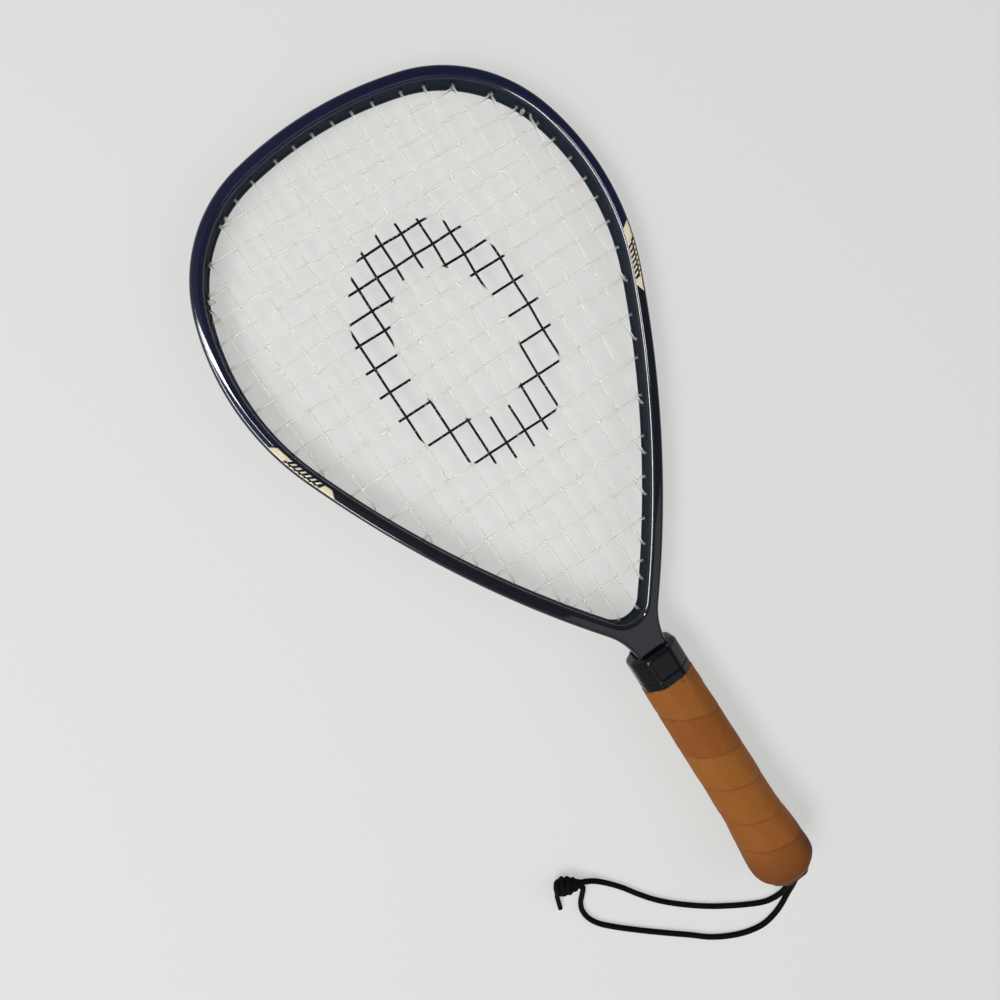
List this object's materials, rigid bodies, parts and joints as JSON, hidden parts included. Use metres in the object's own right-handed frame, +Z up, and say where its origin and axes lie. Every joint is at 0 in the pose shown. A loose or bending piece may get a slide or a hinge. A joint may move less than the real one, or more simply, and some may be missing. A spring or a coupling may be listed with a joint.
{
  "type": "racquetball racket",
  "caption": "Racquetball racket lying flat: moulded teardrop frame, strung head, faceted collar, spiral leather grip with a flared butt and a knotted wrist cord.",
  "frame": {"origin": "on the surface that the racket lies on, below the middle of the racket without its wrist cord", "axes": "+X across the racket, +Y from the butt to the head tip, +Z up"},
  "size_m": [0.2272, 0.505, 0.0342],
  "materials": {
    "graphite": "glossy painted graphite composite",
    "grommet_nylon": "satin moulded nylon",
    "string": "satin off-white nylon string",
    "collar": "satin moulded plastic",
    "pallet_foam": "moulded rigid foam",
    "leather": "worn tan leather",
    "butt_cap": "moulded dark red-brown",
    "steel": "plain steel",
    "cord": "braided black cord"
  },
  "bodies": {
    "root": {"head_frame": "graphite", "grommet_strip_head": "grommet_nylon", "grommet_strip_left": "grommet_nylon", "grommet_strip_right": "grommet_nylon", "main_string": "string", "cross_string": "string", "collar": "collar", "handle_pallet_front": "pallet_foam", "handle_pallet_back": "pallet_foam", "leather_grip": "leather", "butt_cap": "butt_cap", "butt_tack_front": "steel", "butt_tack_back": "steel", "cord_pin": "steel", "cord_bight": "cord", "wrist_cord_upper": "cord", "wrist_cord_lower": "cord", "cord_knot": "cord"}
  },
  "joints": []
}
